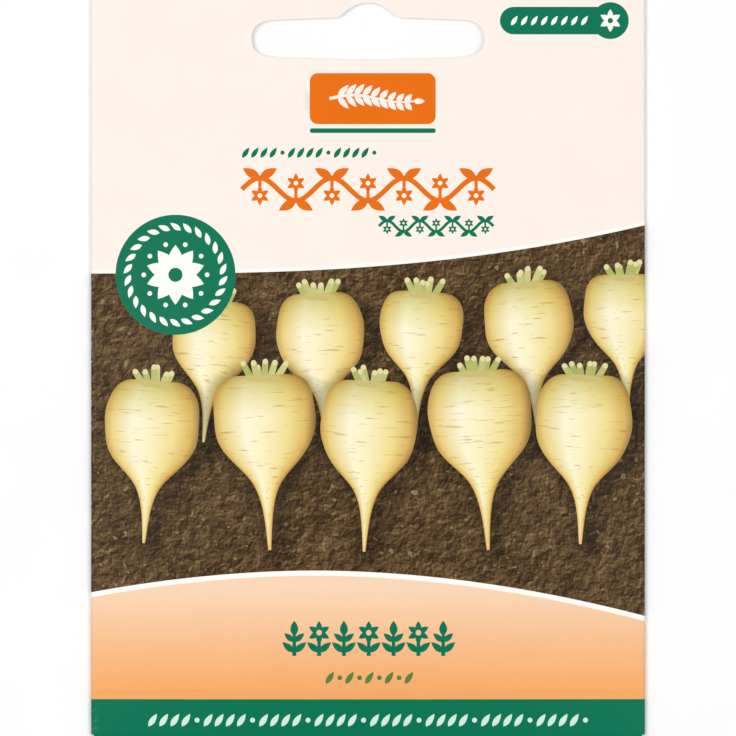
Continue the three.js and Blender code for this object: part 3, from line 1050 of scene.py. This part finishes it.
husk_colours = [(0.25, (150, 112, 62)), (0.5, (184, 146, 92)), (0.8, (214, 184, 132))]
groove_colour = (88, 58, 30)
margin_colour = (226, 204, 158)
rim_starts = 0.74
seed_coat, tree, shader = new_material("seed_coat_ribbed")
place = add_node(tree, "ShaderNodeTexCoord").outputs["Object"]
mottling = noise(tree, place, 900, 4.0, 0.65)
husk = ramp(tree, mottling, husk_colours)
ribs = calc(tree, "COSINE", calc(tree, "MULTIPLY", attribute(tree, "across"), rib_turn))
rim = attribute(tree, "rim")
inside = calc(tree, "LESS_THAN", rim, rim_starts)
between_ribs = calc(tree, "POWER", calc(tree, "MULTIPLY_ADD", ribs, -0.5, 0.5), 6.0)
grooves = calc(tree, "MULTIPLY", between_ribs, inside)
husk = mix(tree, calc(tree, "MULTIPLY", grooves, 0.75), husk, groove_colour)
margin = calc(tree, "MULTIPLY_ADD", rim, 5.0, -3.9)
margin = calc(tree, "MINIMUM", calc(tree, "MAXIMUM", margin, 0.0), 0.8)
tree.links.new(mix(tree, margin, husk, margin_colour), shader.inputs["Base Color"])
shader.inputs["Roughness"].default_value = 0.75

heap = bpy.data.node_groups.new("seed_layers", "GeometryNodeTree")
socket_in(heap, "Geometry", "NodeSocketGeometry")
for name, value in (
    ("Pitch across", 0.0053),
    ("Pitch along", 0.0066),
    ("Layer rise", 0.00108),
    ("Bed height", 0.00131),
    ("Middle", -0.016),
    ("Half width", 0.0235),
    ("Half length", 0.029),
    ("Scatter", 0.00035),
):
    socket_in(heap, name, "NodeSocketFloat", value)
socket_in(heap, "Seed", "NodeSocketObject")
socket_in(heap, "Coat", "NodeSocketMaterial")
heap.interface.new_socket(name="Geometry", in_out="OUTPUT", socket_type="NodeSocketGeometry")
given = add_node(heap, "NodeGroupInput").outputs
joined = add_node(heap, "GeometryNodeJoinGeometry")
seed_in = add_node(heap, "GeometryNodeObjectInfo", {"Object": given["Seed"]}).outputs["Geometry"]
rows, columns = 11, 11
layer_shares = (1.0, 0.62, 0.24)
place_seed, turn_seed = 3, 17


def random_vector(tree, reach, seed):
    """A random vector within this reach either way."""
    limits = {0: tuple(-r for r in reach), 1: reach, "Seed": seed}
    return add_node(tree, "FunctionNodeRandomValue", limits, data_type="FLOAT_VECTOR").outputs[0]


for layer, share in enumerate(layer_shares):
    aside = 0.5 * (layer % 2)
    sizes = {
        "Size X": calc(heap, "MULTIPLY", given["Pitch across"], float(columns - 1)),
        "Size Y": calc(heap, "MULTIPLY", given["Pitch along"], float(rows - 1)),
        "Vertices X": columns,
        "Vertices Y": rows,
    }
    grid = add_node(heap, "GeometryNodeMeshGrid", sizes).outputs["Mesh"]
    index = add_node(heap, "GeometryNodeInputIndex").outputs[0]
    odd = calc(heap, "MODULO", calc(heap, "FLOOR", calc(heap, "DIVIDE", index, float(rows))), 2.0)
    half_pitch = calc(heap, "MULTIPLY", given["Pitch along"], 0.5)
    stagger = calc(heap, "MULTIPLY", calc(heap, "ADD", odd, aside - 0.5), half_pitch)
    scattered = {0: random_vector(heap, (1.0, 1.0, 0.0), place_seed + layer), "Scale": given["Scatter"]}
    scattered = add_node(heap, "ShaderNodeVectorMath", scattered, operation="SCALE").outputs[0]
    shift = {
        0: calc(heap, "MULTIPLY", given["Pitch across"], aside),
        1: calc(heap, "ADD", given["Middle"], stagger),
        2: calc(heap, "MULTIPLY_ADD", given["Layer rise"], float(layer), given["Bed height"]),
    }
    shift = add_node(heap, "ShaderNodeCombineXYZ", shift).outputs[0]
    offset = add_node(heap, "ShaderNodeVectorMath", {0: shift, 1: scattered}, operation="ADD").outputs[0]
    spread = add_node(heap, "GeometryNodeSetPosition", {"Geometry": grid, "Offset": offset}).outputs[0]
    at = add_node(heap, "GeometryNodeInputPosition").outputs[0]
    x, y, _ = add_node(heap, "ShaderNodeSeparateXYZ", {0: at}).outputs
    out = calc(heap, "DIVIDE", x, given["Half width"])
    up = calc(heap, "DIVIDE", calc(heap, "SUBTRACT", y, given["Middle"]), given["Half length"])
    reach = calc(heap, "ADD", calc(heap, "MULTIPLY", out, out), calc(heap, "MULTIPLY", up, up))
    outside = calc(heap, "GREATER_THAN", reach, share * share)
    dropped = {"Geometry": spread, "Selection": outside}
    bed = add_node(heap, "GeometryNodeDeleteGeometry", dropped, domain="POINT").outputs[0]
    turned = random_vector(heap, (0.03, 0.03, 0.3), turn_seed + layer)
    laid = {"Points": bed, "Instance": seed_in, "Rotation": turned}
    laid = add_node(heap, "GeometryNodeInstanceOnPoints", laid).outputs[0]
    heap.links.new(laid, joined.inputs[0])
real = add_node(heap, "GeometryNodeRealizeInstances", {"Geometry": joined.outputs[0]}).outputs[0]
coated = add_node(heap, "GeometryNodeSetMaterial", {"Geometry": real, "Material": given["Coat"]}).outputs[0]
heap.links.new(coated, add_node(heap, "NodeGroupOutput").inputs[0])
seed = one_seed()
bed = bpy.data.objects.new("seed_bed", bpy.data.meshes.new("seed_bed"))
bpy.context.scene.collection.objects.link(bed)
seeds = make_plain(bed, heap, {"Seed": seed, "Coat": seed_coat}, "seeds_loose")
bpy.data.objects.remove(seed)
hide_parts("seeds")
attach(seeds, "root")

# The floor, light and camera: a pale table, even soft light from both sides as in a copying stand,
# and a long lens straight above, so that the packet's sides stay parallel.
table_reach = 4
table_level = -0.00004
table_pale, table_white = (253, 253, 253), (255, 255, 255)
quarters = ((-1, -1), (1, -1), (1, 1), (-1, 1))
table_corners = [(table_reach * x, table_reach * y, table_level) for x, y in quarters]
floor_mesh = bpy.data.meshes.new("table")
floor_mesh.from_pydata(table_corners, [], [(0, 1, 2, 3)])
floor = bpy.data.objects.new("table", floor_mesh)
bpy.context.scene.collection.objects.link(floor)
table_top, tree, shader = new_material("table_top")
place = add_node(tree, "ShaderNodeTexCoord").outputs["Object"]
table_colour = ramp(tree, noise(tree, place, 60, 3.0), [(0.3, table_pale), (0.7, table_white)])
tree.links.new(table_colour, shader.inputs["Base Color"])
shader.inputs["Roughness"].default_value = 0.9
shader.inputs["Specular IOR Level"].default_value = 0.1
floor_mesh.materials.append(table_top)

studio_light = 0.395
world = bpy.data.worlds.new("studio")
bpy.context.scene.world = world
world.use_nodes = True
background = world.node_tree.nodes["Background"].inputs
background["Color"].default_value = (1.0, 1.0, 1.0, 1.0)
background["Strength"].default_value = studio_light


def soft_box(name, place, size, power):
    """A square lamp that faces the packet from its place."""
    lamp = bpy.data.lights.new(name, "AREA")
    lamp.shape = "SQUARE"
    lamp.size = size
    lamp.energy = power
    made = bpy.data.objects.new(name, lamp)
    made.location = place
    made.rotation_euler = (-Vector(place)).to_track_quat("-Z", "Y").to_euler()
    bpy.context.scene.collection.objects.link(made)


soft_box("soft_box_left", (-0.42, 0.1, 0.9), size=0.5, power=4.2)
soft_box("soft_box_right", (0.44, -0.02, 0.9), size=0.5, power=3.05)

view_width = 0.101
view_distance = 1.4
view_middle_y = -0.00424
sensor_width = 36.0
camera = bpy.data.objects.new("camera", bpy.data.cameras.new("camera"))
camera.data.sensor_width = sensor_width
camera.data.lens = sensor_width * view_distance / view_width
camera.location = (0.0, view_middle_y, view_distance + front_level / 1000)
bpy.context.scene.collection.objects.link(camera)
bpy.context.scene.camera = camera
bpy.context.scene.view_settings.view_transform = "Standard"
